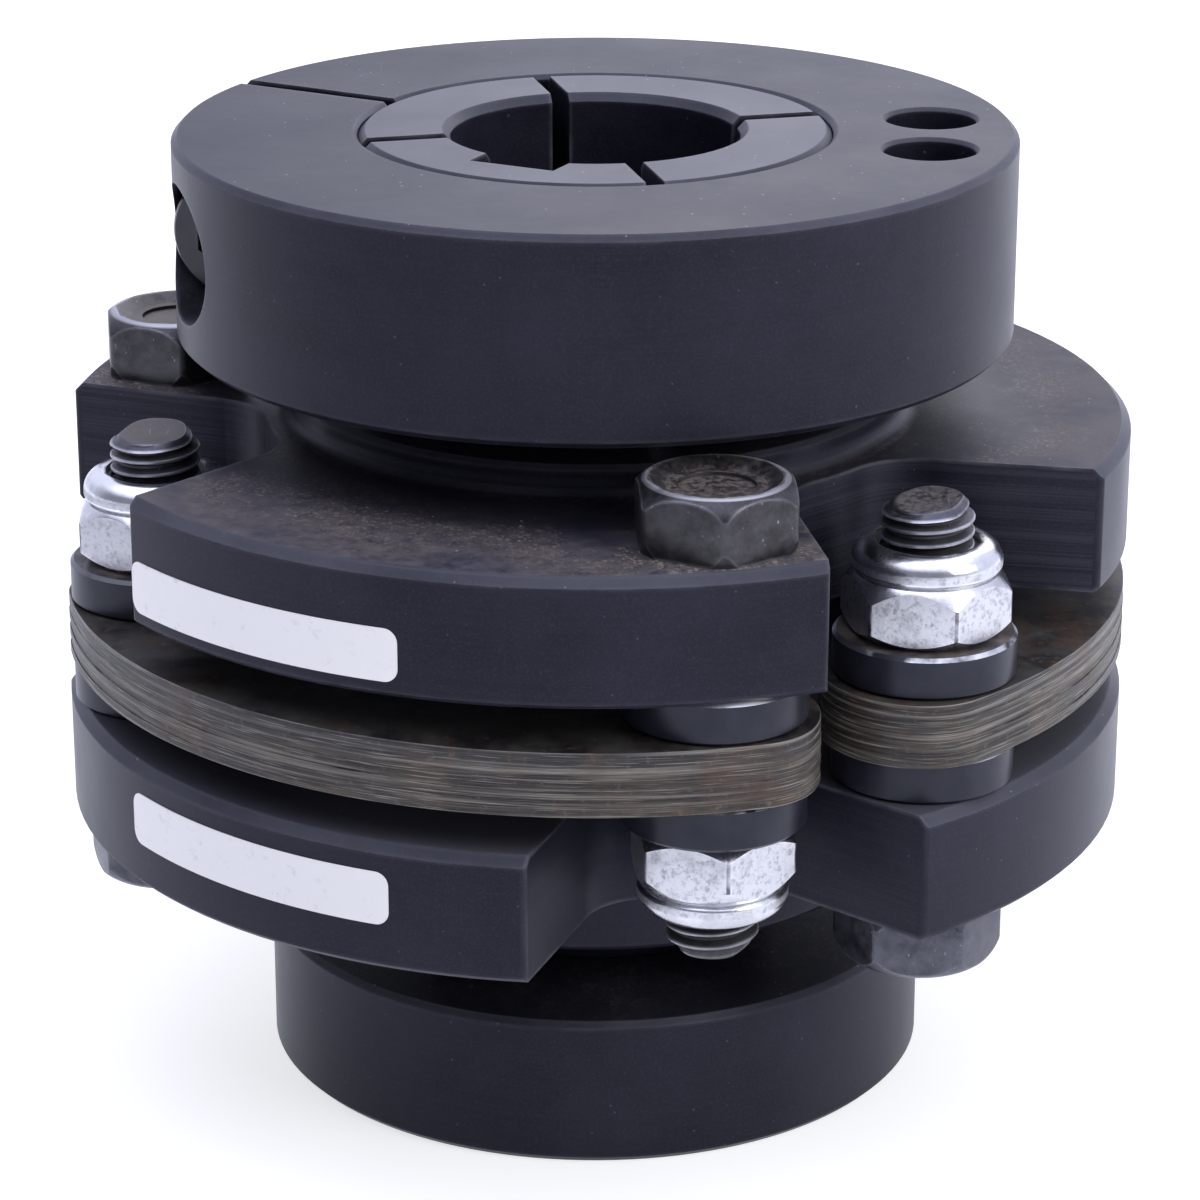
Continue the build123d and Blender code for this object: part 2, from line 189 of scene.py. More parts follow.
def black_oxide(name, dust_low, dust_high, dust_amount, milled_amount, ring_shadow_amount):
    """Blackened steel; dust lies on faces that look up between the two levels, thinned near the
    axis as a painted shadow of the clamp ring.
    """
    finish, tree, shader = new_finish(name, oxide_roughness, 0.0, oxide_gloss)
    shader.inputs["Specular Tint"].default_value = oxide_tint
    place, (x, y, z) = object_place(tree)
    from_axis = axis_distance(tree, x, y)
    upward = facing_up(tree)
    flat = compute(tree, "GREATER_THAN", compute(tree, "ABSOLUTE", upward), 0.8)

    # tool marks run round on flat faces and level on walls
    across = add(tree, "Mix", {"Factor": flat, 2: z, 3: from_axis}, data_type="FLOAT").outputs[0]
    lathe = add(tree, "CombineXYZ", {0: across, 1: product(tree, x, tool_mark_pull),
                                     2: product(tree, y, tool_mark_pull)}).outputs[0]
    fine_marks = speckle(tree, lathe, 5200, 2.0)
    broad_marks = speckle(tree, lathe, 900, 3.0)
    marks = compute(tree, "ADD", fine_marks, product(tree, broad_marks, 0.6))
    milled = product(tree, compute(tree, "GREATER_THAN", from_axis, milled_from_radius),
                     compute(tree, "LESS_THAN", from_axis, milled_to_radius),
                     compute(tree, "SUBTRACT", 1.0, flat), milled_amount)
    cloud = speckle(tree, place, 45, 5.0, 0.62)
    grain = speckle(tree, place, 3600, 3.0, 0.6)
    edge = worn_edges(tree, place, oxide_edge_width, 220, 0.25)

    # a grey film lies on what looks up, with brown dust in the corners and separate crumbs in that
    open_air = add(tree, "AmbientOcclusion", {"Distance": shelter_reach}, samples=2).outputs["AO"]
    corner = spread(tree, open_air, 1.0, 0.58, 0.48, 1.0)
    level = spread(tree, upward, 0.75, 0.98)
    # film and dust are thinned near the axis, under the clamp ring, as a painted shadow of the ring
    lies = product(tree, compute(tree, "GREATER_THAN", z, dust_low),
                   compute(tree, "LESS_THAN", z, dust_high), level,
                   spread(tree, from_axis, ring_shadow_radius, ring_shadow_edge_radius, ring_shadow_amount, 1.0))
    patch = spread(tree, speckle(tree, place, 95, 7.0, 0.68), 0.34, 0.54)
    fine_patch = spread(tree, speckle(tree, place, 420, 7.0, 0.75), 0.36, 0.60, 0.35, 1.0)
    film = product(tree, lies, fine_patch, dust_amount)
    # painted highlight: the top end face above the dust is paler, standing in for the overhead
    # light it reflects
    lit_end_face = product(tree, compute(tree, "GREATER_THAN", z, dust_high), level, 0.42)
    dust = product(tree, lies, patch, fine_patch, corner, dust_amount)
    thick = spread(tree, product(tree, patch, corner), 0.46, 0.80)
    grains = compute(tree, "MAXIMUM", crumbs(tree, place, 2600, 0.62, 0.60),
                     crumbs(tree, place, 1400, 0.50, 0.45))
    crumb = product(tree, lies, grains, thick, dust_amount)
    pocks = product(tree, lies, crumbs(tree, place, 2100, 0.55, 0.5), thick, dust_amount)
    specks = product(tree, crumbs(tree, place, 640, 0.10, 0.7),
                     spread(tree, upward, 0.3, 0.9, 0.12, 0.6))

    # the steel comes first, then painted highlights on its upper chamfers and top end face, then
    # what lies on all but its worn edges
    pale = spread(tree, cloud, 0.35, 0.72)
    marked = spread(tree, marks, 0.75, 1.05, 0.0, 0.25)
    cut = product(tree, spread(tree, marks, 0.72, 0.95), milled, 0.5)
    grainy = spread(tree, grain, 0.50, 0.70, 0.0, 0.16)
    # painted highlight: the upper chamfers are paler, standing in for the light they catch from
    # above
    wear_and_highlight = product(tree, upper_chamfer(tree, upward), spread(tree, cloud, 0.3, 0.7, 0.14, 0.36))
    colour = oxide_colour
    for share, over in ((pale, oxide_pale_colour), (marked, oxide_pale_colour),
                        (cut, milled_colour), (grainy, film_colour),
                        (wear_and_highlight, bare_edge_and_highlight_colour), (lit_end_face, bare_edge_and_highlight_colour),
                        (film, film_colour), (dust, dust_colour),
                        (product(tree, edge, 0.7), bare_edge_and_highlight_colour),
                        (pocks, oxide_pale_colour), (crumb, crumb_colour),
                        (specks, speck_colour)):
        colour = blend_colours(tree, share, colour, over)
    tree.links.new(colour, shader.inputs["Base Color"])
    uneven = spread(tree, cloud, 0.3, 0.7, oxide_roughness - 0.04, oxide_roughness + 0.07)
    dull = product(tree, compute(tree, "MAXIMUM", film, dust), 0.3)
    tree.links.new(compute(tree, "ADD", uneven, dull), shader.inputs["Roughness"])

    marks_depth = compute(tree, "ADD", 0.6, product(tree, milled, 1.6))
    relief = compute(tree, "ADD", product(tree, marks, marks_depth), product(tree, grain, 0.8))
    relief = compute(tree, "ADD", relief, product(tree, crumb, 6.0))
    put_relief(tree, shader, relief, 0.30, oxide_relief_depth,
               rounded_normal(tree, oxide_edge_width))
    return finish


def dress(node, finish):
    """Gives a CAD node's own mesh a better material."""
    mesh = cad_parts[node].data
    mesh.materials.clear()
    mesh.materials.append(finish)


for hub, milled_amount in hub_milled_amounts.items():
    low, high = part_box(hub)
    dress(hub, black_oxide(hub + "_black_oxide", low[2] + clean_foot, high[2] - clean_top,
                           dust_amount=1.0, milled_amount=milled_amount, ring_shadow_amount=0.12))

# ---------------------------------------------------------------- clamp rings and their screws
# Each ring is turned, slit with a saw and blackened like the hubs, and is nearly clean, because
# hands hold it. Its socket cap screw sits deep in the counterbore and is plain black steel.
screw_dark_colour = (0.006, 0.006, 0.009, 1)
screw_pale_colour = (0.015, 0.015, 0.020, 1)
screw_edge_width = 0.0003
screw_relief_depth = 0.00003


def screw_steel(name):
    """Plain blackened steel with slightly worn edges."""
    finish, tree, shader = new_finish(name, 0.35, 0.0)
    place = object_place(tree)[0]
    edge = worn_edges(tree, place, screw_edge_width, 300)
    mottle = spread(tree, speckle(tree, place, 380, 4.0), 0.35, 0.7)
    colour = blend_colours(tree, mottle, screw_dark_colour, screw_pale_colour)
    colour = blend_colours(tree, product(tree, edge, 0.5), colour, bare_edge_and_highlight_colour)
    tree.links.new(colour, shader.inputs["Base Color"])
    put_relief(tree, shader, mottle, 0.3, screw_relief_depth,
               rounded_normal(tree, screw_edge_width))
    return finish


for side in ("lower", "upper"):
    dress(side + "_clamp_ring",
          black_oxide(side + "_clamp_ring_black_oxide", -1.0, 1.0, dust_amount=0.12,
                      milled_amount=0.0, ring_shadow_amount=1.0))
    dress(side + "_clamp_screw", screw_steel(side + "_clamp_screw_steel"))

# ---------------------------------------------------------------- disc links
# Three curved links, each a stack of glass and epoxy laminae under a thicker cover lamina. The cut
# rims show the fibre layers as fine pale and dark lines; the top face is dusty and rubbed.
laminate_colour = (0.068, 0.058, 0.043, 1)
laminate_dark_colour = (0.010, 0.008, 0.008, 1)
laminate_pale_colour = (0.36, 0.33, 0.27, 1)
laminate_brown_colour = (0.085, 0.048, 0.026, 1)
cover_colour = (0.050, 0.046, 0.040, 1)
laminate_edge_width = 0.0001
laminate_relief_depth = 0.00006
layer_wander = 0.0003
fibre_pull = 0.016


def fibre_laminate(name, ground):
    """Cut fibre layers: level lines of uneven tone that wander a little."""
    finish, tree, shader = new_finish(name, 0.46, 0.0, 0.4)
    place, (x, y, z) = object_place(tree)
    wander = product(tree, speckle(tree, place, 40, 2.0), layer_wander)
    lines = add(tree, "CombineXYZ", {0: product(tree, x, fibre_pull),
                                     1: product(tree, y, fibre_pull),
                                     2: compute(tree, "ADD", z, wander)}).outputs[0]
    fine = speckle(tree, lines, 6500, 3.0, 0.7)
    broad = speckle(tree, lines, 1700, 2.0)
    thin = speckle(tree, lines, 9500, 1.0)
    stain = speckle(tree, place, 130, 5.0, 0.65)
    fleck = speckle(tree, place, 1100, 5.0, 0.7)
    walls = spread(tree, compute(tree, "ABSOLUTE", facing_up(tree)), 0.8, 0.6)
    edge = worn_edges(tree, place, laminate_edge_width, 160)
    colour = blend_colours(tree, spread(tree, fine, 0.40, 0.58), laminate_dark_colour, ground)
    for share, over in (
            (product(tree, spread(tree, broad, 0.54, 0.66), walls, 0.40), laminate_pale_colour),
            (product(tree, spread(tree, broad, 0.44, 0.34), walls, 0.75), laminate_dark_colour),
            (spread(tree, stain, 0.50, 0.66, 0.0, 0.6), laminate_brown_colour),
            (product(tree, spread(tree, thin, 0.63, 0.70), walls, 0.65), laminate_pale_colour),
            (product(tree, edge, 0.6), laminate_pale_colour),
            (spread(tree, fleck, 0.57, 0.70, 0.0, 0.6), dust_colour)):
        colour = blend_colours(tree, share, colour, over)
    tree.links.new(colour, shader.inputs["Base Color"])
    relief = compute(tree, "ADD", fine, product(tree, fleck, 0.5))
    put_relief(tree, shader, relief, 0.6, laminate_relief_depth)
    return finish


thin_laminate = fibre_laminate("thin_laminate", laminate_colour)
cover_laminate = fibre_laminate("cover_laminate", cover_colour)
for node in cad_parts:
    if "cover_lamina" in node:
        dress(node, cover_laminate)
    elif "lamina" in node:
        dress(node, thin_laminate)

# ---------------------------------------------------------------- spacers
# Twelve turned steel rings, blackened, that hold the links clear of both flanges. A wrench has
# rubbed their upper chamfers to bare metal, and a painted highlight lies over them, most of all
# on the coupling's right.
spacer_dark_colour = (0.011, 0.011, 0.016, 1)
spacer_pale_colour = (0.024, 0.024, 0.032, 1)
wear_and_highlight_spacer_colour = (0.62, 0.62, 0.64, 1)
turned_pull = 0.01
spacer_relief_depth = 0.00002
wear_and_highlight_from_x, wear_and_highlight_to_x = -0.03, 0.02


def spacer_steel():
    """Blackened turned steel with a rubbed upper chamfer under a painted highlight, and a dusty
    top.
    """
    finish, tree, shader = new_finish("spacer_steel", 0.32, 0.0, 0.35)
    shader.inputs["Specular Tint"].default_value = oxide_tint
    place, (x, y, z) = object_place(tree)
    upward = facing_up(tree)
    patches = spread(tree, speckle(tree, place, 170, 4.0), 0.40, 0.50)
    rightward = spread(tree, x, wear_and_highlight_from_x, wear_and_highlight_to_x, 0.2, 1.0)
    # rubbed bare metal plus a painted highlight that grows towards the coupling's right, where the
    # light falls
    wear_and_highlight = product(tree, upper_chamfer(tree, upward), patches, rightward)
    mottle = spread(tree, speckle(tree, place, 260, 4.0), 0.35, 0.7)
    dusty = product(tree, spread(tree, upward, 0.9, 0.99),
                    spread(tree, mottle, 0.3, 0.8, 0.2, 0.9))
    colour = blend_colours(tree, mottle, spacer_dark_colour, spacer_pale_colour)
    colour = blend_colours(tree, dusty, colour, dust_colour)
    colour = blend_colours(tree, wear_and_highlight, colour, wear_and_highlight_spacer_colour)
    tree.links.new(colour, shader.inputs["Base Color"])
    tree.links.new(wear_and_highlight, shader.inputs["Metallic"])
    turned = add(tree, "CombineXYZ", {0: product(tree, x, turned_pull),
                                      1: product(tree, y, turned_pull), 2: z}).outputs[0]
    put_relief(tree, shader, speckle(tree, turned, 5200, 2.0), 0.25, spacer_relief_depth)
    return finish


spacer_finish = spacer_steel()
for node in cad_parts:
    if "spacer" in node:
        dress(node, spacer_finish)

# ---------------------------------------------------------------- hex bolts
# Six M10 bolts, hot forged with an arched chamfer and a dished crown, with rolled threads. A head
# keeps the solid's form with its edges softened; the thread past the nut is a true helix. The
# upper hub's bolts are darker, the lower hub's lighter and bluer.
thread_pitch = 0.0015
thread_crest = 0.00494
thread_root = 0.00408
thread_profile = ((0.0, thread_root), (0.08, thread_root), (0.434, thread_crest),
                  (0.566, thread_crest), (0.92, thread_root), (1.0, thread_root))
thread_steps = 48
tip_radius = 0.0037
tip_depth = 0.0020
tip_slant = 0.0007
tip_oval, tip_ripple = 0.05, 0.025
tip_rim, tip_hollow_slope, tip_hollow_depth = 0.0005, 0.0006, 0.00015
tip_turns = {"upper": radians(-90), "lower": radians(225)}
tip_turn_step = 0.25
close_corners = 0.00022
triangle_gap, spin_gap = 2e-6, 1e-6
lip_depth, lip_radius = 0.0009, 0.0034
dish_floor_radius = 0.0066
dish_radius, rim_radius, rim_depth = 0.0069, 0.0076, 0.0003
head_edge_width = 0.00022
worn_bolt_edge_width = 0.00024
groove_reach = 0.0018
bolt_relief_depth = 0.00004
darker_bolt_colours = ((0.034, 0.032, 0.034, 1), (0.085, 0.081, 0.086, 1))
lighter_bolt_colours = ((0.055, 0.056, 0.068, 1), (0.125, 0.126, 0.145, 1))
groove_darkening_colour = (0.012, 0.010, 0.011, 1)
scratch_colour = (0.62, 0.62, 0.65, 1)
bolt_dust_amount = 0.85
dish_dust_amount = 0.75
sharp_angle = radians(20)
smooth_angle = radians(34)


def merged_copy(node):
    """A bmesh of a CAD node with its loose triangles joined and its flat faces whole."""
    mesh = bmesh.new()
    mesh.from_mesh(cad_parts[node].data)
    bmesh.ops.remove_doubles(mesh, verts=mesh.verts[:], dist=triangle_gap)
    bmesh.ops.dissolve_limit(mesh, angle_limit=radians(1), verts=mesh.verts[:],
                             edges=mesh.edges[:])
    return mesh


def soften(mesh, width):
    """Rounds every sharp edge."""
    sharp = [edge for edge in mesh.edges
             if edge.is_manifold and edge.calc_face_angle(0) > sharp_angle]
    bmesh.ops.bevel(mesh, geom=sharp, offset=width, segments=2, profile=0.5, affect="EDGES",
                    clamp_overlap=True, material=-1)


def cut_off(mesh, level, keep_above):
    """Cuts a mesh at a level, keeps one side and closes the cut."""
    away = (0, 0, -1) if keep_above else (0, 0, 1)
    bmesh.ops.bisect_plane(mesh, geom=mesh.verts[:] + mesh.edges[:] + mesh.faces[:],
                           plane_co=(0, 0, level), plane_no=away, clear_outer=True)
    bmesh.ops.holes_fill(mesh, edges=[edge for edge in mesh.edges if edge.is_boundary])


def show(mesh, name, slot, finish, *replaced):
    """Makes a bmesh a piece of the coupling. Its slot is not used; the nodes it replaces may be
    none.
    """
    for edge in mesh.edges:
        edge.smooth = edge.calc_face_angle(0) < smooth_angle
    for face in mesh.faces:
        face.smooth = True
    data = bpy.data.meshes.new(name)
    mesh.to_mesh(data)
    mesh.free()
    data.materials.append(finish)
    piece = bpy.data.objects.new(name, data)
    bpy.context.collection.objects.link(piece)
    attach(piece, "root")
    if replaced:
        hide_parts(*replaced)


def upright_axis(node):
    """The x and y of the middle of a node's box."""
    low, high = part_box(node)
    return [(low[i] + high[i]) / 2 for i in (0, 1)]


def reach_from(axis, vert):
    """How far a vertex is from an upright axis."""
    return Vector((vert.co.x - axis[0], vert.co.y - axis[1])).length


def tip_end(rod, length):
    """The end of a rod's tip, which is the one face of many corners up there."""
    return [face for face in rod.faces
            if len(face.verts) > 8 and face.calc_center_median().z > length / 2]


def thread_rod(length, slant):
    """A threaded rod standing on the origin. Its tip is cropped unevenly, low towards the slant."""
    turns = int(length / thread_pitch) + 3
    rod = bmesh.new()
    corners = [rod.verts.new((radius, 0, (share - 1.5) * thread_pitch))
               for share, radius in thread_profile]
    edges = [rod.edges.new(pair) for pair in zip(corners, corners[1:])]
    bmesh.ops.spin(rod, geom=corners + edges, cent=(0, 0, 0), axis=(0, 0, 1),
                   angle=2 * pi * turns, dvec=(0, 0, thread_pitch / thread_steps),
                   steps=thread_steps * turns)
    bmesh.ops.remove_doubles(rod, verts=rod.verts[:], dist=spin_gap)
    cut_off(rod, 0.0, True)
    cut_off(rod, length, False)
    for vert in rod.verts:
        reach = reach_from((0, 0), vert)
        round_place = atan2(vert.co.y, vert.co.x) - slant
        uneven = 1 + tip_oval * sin(2 * round_place) + tip_ripple * sin(5 * round_place)
        limit = tip_radius * uneven + (length - vert.co.z)
        if reach > limit:
            vert.co.x *= limit / reach
            vert.co.y *= limit / reach
        near_tip = max(0.0, 1 - (length - vert.co.z) / tip_depth)
        vert.co.z -= tip_slant * near_tip * (0.5 + 0.5 * cos(round_place))
    rim = [vert for face in tip_end(rod, length) for vert in face.verts]
    bmesh.ops.remove_doubles(rod, verts=rim, dist=close_corners)
    bmesh.ops.recalc_face_normals(rod, faces=rod.faces[:])
    end = tip_end(rod, length)
    bmesh.ops.inset_region(rod, faces=end, thickness=tip_rim, depth=0.0)
    bmesh.ops.inset_region(rod, faces=end, thickness=tip_hollow_slope, depth=-tip_hollow_depth)
    return rod


def join_rod(body, rod, seat):
    """Adds a rod to a bolt's body at its seat."""
    bmesh.ops.transform(rod, matrix=seat, verts=rod.verts[:])
    rod_data = bpy.data.meshes.new("rod")
    rod.to_mesh(rod_data)
    rod.free()
    body.from_mesh(rod_data)
    bpy.data.meshes.remove(rod_data)


def mark_wear_and_highlight(body, axis, inside, low, high, head_up):
    """Notes wear per vertex: crests, lip and a painted highlight on the crown rim most, grooves and
    dish least.
    """
    wear_and_highlight = body.verts.layers.float.new("wear_and_highlight")
    for vert in body.verts:
        reach = reach_from(axis, vert)
        below_top, above_foot = high - vert.co.z, vert.co.z - low
        from_crown, from_tip = (below_top, above_foot) if head_up else (above_foot, below_top)
        past_nut = vert.co.z < inside if head_up else vert.co.z > inside
        if past_nut and from_tip < lip_depth and reach > lip_radius:
            vert[wear_and_highlight] = 1.0
        elif past_nut:
            vert[wear_and_highlight] = (reach - thread_root) / (thread_crest - thread_root)
        elif reach < dish_floor_radius:
            vert[wear_and_highlight] = 0.0
        # the crown rim gets the top value, which paints a highlight ring
        elif from_crown < rim_depth and dish_radius < reach < rim_radius:
            vert[wear_and_highlight] = 1.8
        else:
            vert[wear_and_highlight] = 1.0


def forged_steel(name, dark, pale):
    """Dark scaled steel, bright where its wear and highlight attribute is high, darker in grooves.
    """
    finish, tree, shader = new_finish(name, 0.36, 0.8)
    place = object_place(tree)[0]
    upward = facing_up(tree)
    wear_and_highlight = add(tree, "Attribute", attribute_name="wear_and_highlight").outputs["Fac"]
    edge = product(tree, worn_edges(tree, place, worn_bolt_edge_width, 260, 0.45),
                   spread(tree, wear_and_highlight, 0.35, 0.75))
    # painted highlight: a bright ring round the crown rim
    edge = compute(tree, "MAXIMUM", edge, spread(tree, wear_and_highlight, 1.3, 1.8, 0.0, 0.6))
    mottle = speckle(tree, place, 420, 5.0, 0.65)

    # a few fine bright scratches, where a wrench has slipped
    slanted = add(tree, "Mapping", {"Vector": place, "Rotation": (0.5, 0.9, 0.3),
                                    "Scale": (1, 0.05, 0.4)}).outputs[0]
    scratch = spread(tree, speckle(tree, slanted, 3200, 2.0), 0.72, 0.76)
    bright = compute(tree, "MAXIMUM", edge, product(tree, scratch, 0.4))

    # the grooves and hollows are darker, and dust lies on what looks up, most of it in the dish
    open_air = add(tree, "AmbientOcclusion", {"Distance": groove_reach}, samples=3).outputs["AO"]
    groove_darkening = product(tree, spread(tree, open_air, 0.92, 0.55),
                    spread(tree, speckle(tree, place, 700, 4.0), 0.30, 0.55, 0.5, 1.0),
                    spread(tree, wear_and_highlight, 0.95, 0.75))
    grit = spread(tree, speckle(tree, place, 1300, 5.0, 0.7), 0.40, 0.58, 0.2, 1.0)
    top_dust = product(tree, spread(tree, upward, 0.85, 0.98), grit, bolt_dust_amount)
    dish_dust = product(tree, spread(tree, wear_and_highlight, 0.12, 0.02), spread(tree, upward, 0.8, 0.92),
                        dish_dust_amount, grit)
    dust = compute(tree, "MAXIMUM", top_dust, dish_dust)
    dull = product(tree, compute(tree, "MAXIMUM", dust, groove_darkening),
                   compute(tree, "SUBTRACT", 1.0, bright))

    colour = blend_colours(tree, spread(tree, mottle, 0.35, 0.7), dark, pale)
    colour = blend_colours(tree, groove_darkening, colour, groove_darkening_colour)
    colour = blend_colours(tree, dust, colour, dust_colour)
    colour = blend_colours(tree, bright, colour, scratch_colour)
    tree.links.new(colour, shader.inputs["Base Color"])
    rough = compute(tree, "ADD", spread(tree, mottle, 0.3, 0.7, 0.28, 0.46),
                    product(tree, dull, 0.35))
    tree.links.new(rough, shader.inputs["Roughness"])
    tree.links.new(spread(tree, dull, 0.0, 1.0, 0.8, 0.0), shader.inputs["Metallic"])
    relief = compute(tree, "ADD", mottle, product(tree, speckle(tree, place, 1800), 0.4))
    put_relief(tree, shader, relief, 0.5, bolt_relief_depth)
    return finish


# the upper hub's bolts get the darker steel, the lower hub's the lighter, bluer one
darker_bolt_steel = forged_steel("dull_bolt_steel", *darker_bolt_colours)
lighter_bolt_steel = forged_steel("light_bolt_steel", *lighter_bolt_colours)
for side in ("upper", "lower"):
    head_up = side == "upper"
    for index in (1, 2, 3):
        bolt = f"{side}_bolt_{index}"
        nut = f"{side}_lock_nut_{index}"
        low, high = [corner[2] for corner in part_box(bolt)]
        inside = sum(corner[2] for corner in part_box(nut)) / 2
        axis = upright_axis(nut)
        body = merged_copy(bolt)
        cut_off(body, inside, head_up)
        soften(body, head_edge_width)
        slant = tip_turns[side] + tip_turn_step * (index - 2)
        seat = Matrix.Translation((*axis, inside))
        if head_up:
            seat = seat @ Matrix.Rotation(pi, 4, "X")
        join_rod(body, thread_rod(inside - low if head_up else high - inside, slant), seat)
        mark_wear_and_highlight(body, axis, inside, low, high, head_up)
        show(body, bolt + "_threaded", "bolt_steel", darker_bolt_steel if head_up else lighter_bolt_steel,
             bolt)

# ---------------------------------------------------------------- lock nuts
# Six zinc-plated lock nuts, cold formed, with a rolled collar that grips a nylon insert. The
# plating is bright and smooth on the collar and frosted with fine pits on the wrench flats. The
# flats are darker in patches, most of all on the nuts at the coupling's left.
zinc_colour = (0.80, 0.80, 0.82, 1)
zinc_darker_colour = (0.50, 0.50, 0.52, 1)
zinc_pit_colour = (0.20, 0.20, 0.22, 1)
zinc_shade_colour = (0.16, 0.16, 0.19, 1)
zinc_edge_colour = (0.93, 0.93, 0.95, 1)
zinc_corner_colour = (0.085, 0.085, 0.105, 1)
nylon_dark_colour = (0.020, 0.020, 0.024, 1)
nylon_soiled_colour = (0.055, 0.052, 0.050, 1)
nut_edge_width = 0.00015
nut_corner_radius = 0.00907
nut_corner_depth = 0.00006
plating_edge_reach = 0.0008
plating_relief_depth = 0.00011
darker_from_x, darker_to_x = -0.02, -0.045


def zinc_plating():
    """Bright plating, frosted on the flats, with a dark patchy line down each corner."""
    finish, tree, shader = new_finish("zinc_plating", 0.3, 1.0)
    place, numbers = object_place(tree)
    flats = spread(tree, compute(tree, "ABSOLUTE", facing_up(tree)), 0.25, 0.10)
    pits = speckle(tree, place, 1350, 6.0, 0.74)
    hollow = product(tree, spread(tree, pits, 0.50, 0.36), flats)
    metal = thin_metal(tree, plating_edge_reach, 4)
    edge = spread(tree, metal, 0.84, 0.66)
    shade_line = product(tree, spread(tree, metal, 0.99, 0.91), spread(tree, metal, 0.78, 0.86),
                         flats)
    # the flats are darker in patches, and more so on the nuts at the coupling's left
    leftward = spread(tree, numbers["X"], darker_from_x, darker_to_x, 0.0, 0.5)
    darkening = spread(tree, speckle(tree, place, 260, 5.0, 0.65), 0.42, 0.72)
    darkening = compute(tree, "MAXIMUM", darkening, product(tree, flats, 0.35))
    darkening = compute(tree, "ADD", darkening, product(tree, leftward, flats))
    corner = add(tree, "Attribute", attribute_name="corner").outputs["Fac"]
    patchy = spread(tree, speckle(tree, place, 420, 4.0), 0.36, 0.60, 0.15, 0.9)
    corner_line = product(tree, spread(tree, corner, 0.4, 0.9), patchy)
    colour = zinc_colour
    for share, over in ((darkening, zinc_darker_colour),
                        (product(tree, hollow, 0.6), zinc_pit_colour),
                        (product(tree, shade_line, 0.55), zinc_shade_colour),
                        (product(tree, edge, 0.9), zinc_edge_colour),
                        (corner_line, zinc_corner_colour)):
        colour = blend_colours(tree, share, colour, over)
    tree.links.new(colour, shader.inputs["Base Color"])
    rough = compute(tree, "ADD", spread(tree, flats, 0.0, 1.0, 0.20, 0.36),
                    product(tree, darkening, 0.12))
    tree.links.new(rough, shader.inputs["Roughness"])
    waves = product(tree, speckle(tree, place, 330, 3.0), 0.9)
    relief = compute(tree, "ADD", compute(tree, "ADD", product(tree, pits, flats), waves),
                     product(tree, pits, 0.12))
    put_relief(tree, shader, relief, 0.7, plating_relief_depth)
    return finish


def soiled_nylon():
    """Dark nylon, soiled in patches."""
    finish, tree, shader = new_finish("nylon", 0.5, 0.0)
    soiled = spread(tree, speckle(tree, object_place(tree)[0], 500, 4.0), 0.35, 0.65)
    tree.links.new(blend_colours(tree, soiled, nylon_dark_colour, nylon_soiled_colour),
                   shader.inputs["Base Color"])
    return finish


plated_finish, nylon_finish = zinc_plating(), soiled_nylon()
for side in ("upper", "lower"):
    for index in (1, 2, 3):
        node = f"{side}_lock_nut_{index}"
        axis = upright_axis(node)
        nut = merged_copy(node)
        soften(nut, nut_edge_width)
        corner = nut.verts.layers.float.new("corner")
        for vert in nut.verts:
            past_corner = max(0.0, reach_from(axis, vert) - nut_corner_radius)
            vert[corner] = past_corner / nut_corner_depth
        show(nut, node + "_plated", "zinc_plated_nut", plated_finish, node)
        dress(f"{side}_nut_insert_{index}", nylon_finish)

# ---------------------------------------------------------------- labels
# A white vinyl plate is stuck on the rim of the front arm of each flange, near its left end. Both
# are blank and slightly soiled, with rounded corners. Left and right are degrees from the front.
label_thickness = 0.00012
label_corner = 0.0015
label_lift = 0.00002
label_strips = 48
label_places = {
    "upper_label": {"left": -53.6, "right": -18.6, "bottom": 0.06405, "top": 0.06980},
    "lower_label": {"left": -55.2, "right": -20.0, "bottom": 0.03700, "top": 0.04290},
}
flange_radius = -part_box("upper_hub")[0][1]
vinyl_colour = (0.93, 0.905, 0.85, 1)
vinyl_soil_colour = (0.46, 0.44, 0.42, 1)
vinyl_relief_depth = 0.0002


def white_vinyl():
    """White vinyl, a little wrinkled and soiled."""
    finish, tree, shader = new_finish("white_vinyl", 0.35, 0.0)
    place = object_place(tree)[0]
    soil = spread(tree, speckle(tree, place, 520, 6.0, 0.72), 0.58, 0.74, 0.0, 0.45)
    tree.links.new(blend_colours(tree, soil, vinyl_colour, vinyl_soil_colour),
                   shader.inputs["Base Color"])
    put_relief(tree, shader, speckle(tree, place, 160, 3.0, 0.6), 0.4, vinyl_relief_depth)
    return finish


def label_plate(left, right, bottom, top):
    """A flat plate with rounded corners, cut into strips and bent round the flange."""
    width = radians(right - left) * flange_radius
    plate = bmesh.new()
    bmesh.ops.create_grid(plate, x_segments=1, y_segments=1, size=0.5)
    bmesh.ops.scale(plate, vec=(width, top - bottom, 1), verts=plate.verts[:])
    bmesh.ops.bevel(plate, geom=plate.verts[:], offset=label_corner, segments=8, profile=0.5,
                    affect="VERTICES", material=-1)
    for strip in range(1, label_strips):
        bmesh.ops.bisect_plane(plate, geom=plate.verts[:] + plate.edges[:] + plate.faces[:],
                               plane_co=((strip / label_strips - 0.5) * width, 0, 0),
                               plane_no=(1, 0, 0))
    bmesh.ops.solidify(plate, geom=plate.faces[:], thickness=label_thickness)
    back = min(vert.co.z for vert in plate.verts)
    for vert in plate.verts:
        turn = radians((left + right) / 2) + vert.co.x / flange_radius
        reach = flange_radius + label_lift + vert.co.z - back
        vert.co = (reach * sin(turn), -reach * cos(turn), (bottom + top) / 2 + vert.co.y)
    if plate.calc_volume(signed=True) < 0:
        bmesh.ops.reverse_faces(plate, faces=plate.faces[:])
    return plate


